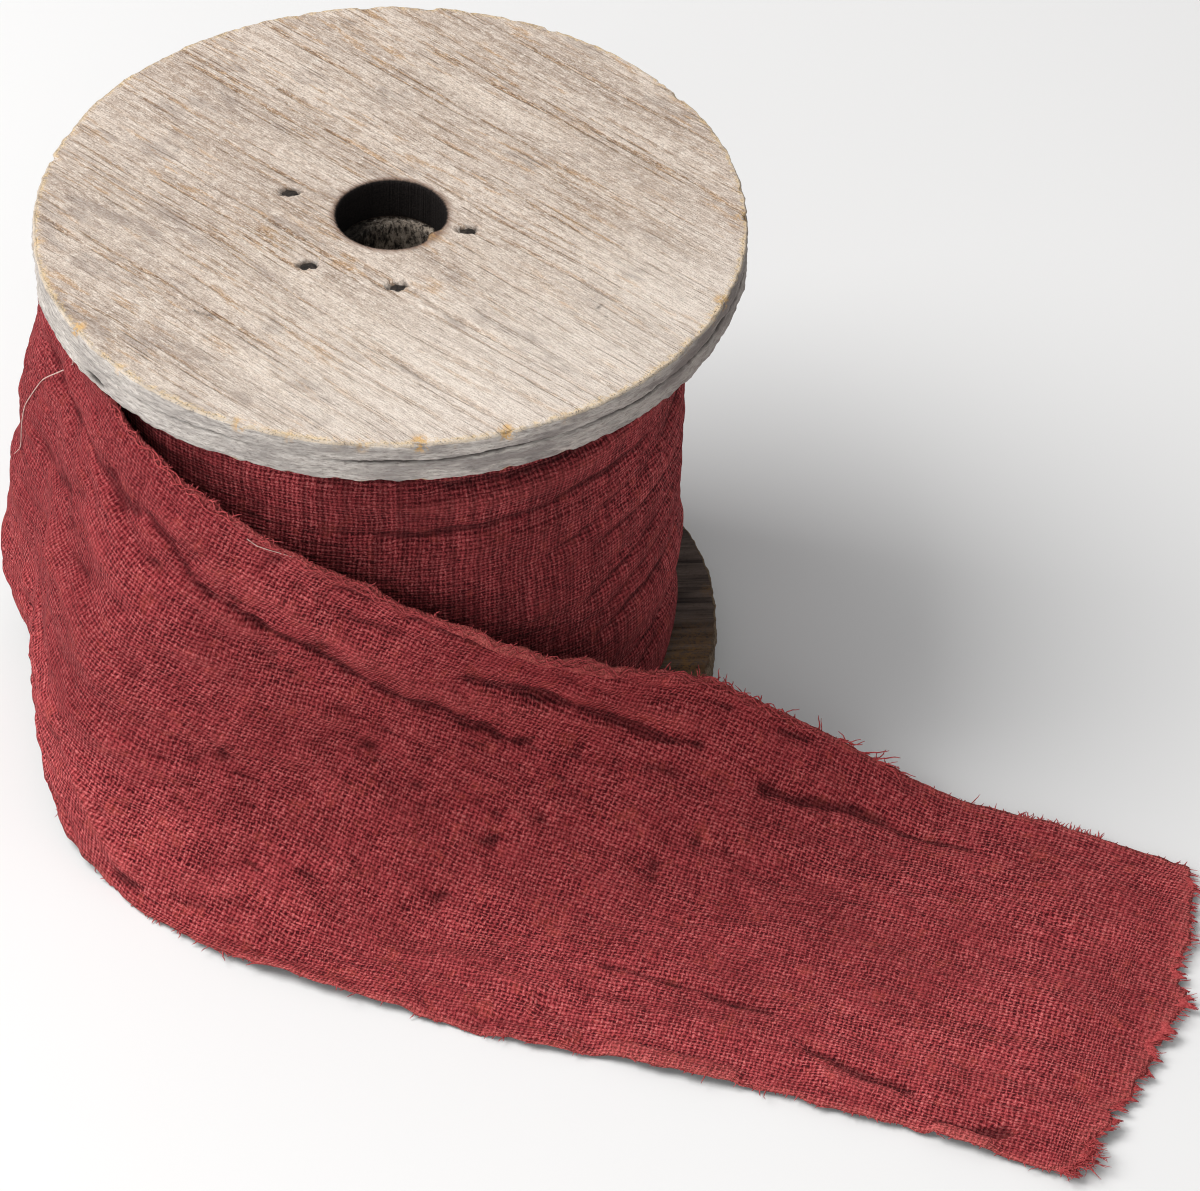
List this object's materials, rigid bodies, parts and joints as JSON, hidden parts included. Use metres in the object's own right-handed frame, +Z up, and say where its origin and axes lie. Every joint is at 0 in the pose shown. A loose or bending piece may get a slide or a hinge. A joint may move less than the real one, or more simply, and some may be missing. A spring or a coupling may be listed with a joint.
{
  "type": "roll of gauze ribbon on a spool",
  "caption": "Roll of red cotton gauze ribbon wound on a weathered wooden spool, its frayed loose end swept round the side and lying flat in front.",
  "frame": {"origin": "middle of the footprint, on the surface that the spool and the loose end rest on", "axes": "+Z up along the spool's axis; -Y is the front, which the loose end crosses; the loose end points to +X and -Y"},
  "size_m": [0.2006, 0.1824, 0.0927],
  "materials": {
    "wood_pale": "bare weathered wood, bleached pale grey-beige with fine brown grain, rough and dry",
    "wood_dark": "bare weathered wood, dark grey-brown, rough grain",
    "core_tube": "rough grey-brown bore, unfinished",
    "gauze": "open plain-weave crinkled cotton gauze, soft and matt with a light fuzz, dull brick red",
    "nail_steel": "dark dull steel, sunk below the wood"
  },
  "bodies": {
    "root": {"flange_bottom": "wood_dark", "flange_top": "wood_pale", "core": "core_tube", "roll": "gauze", "loose_end": "gauze", "nail_left": "nail_steel", "nail_front_left": "nail_steel", "nail_front": "nail_steel", "nail_right": "nail_steel"}
  },
  "joints": []
}
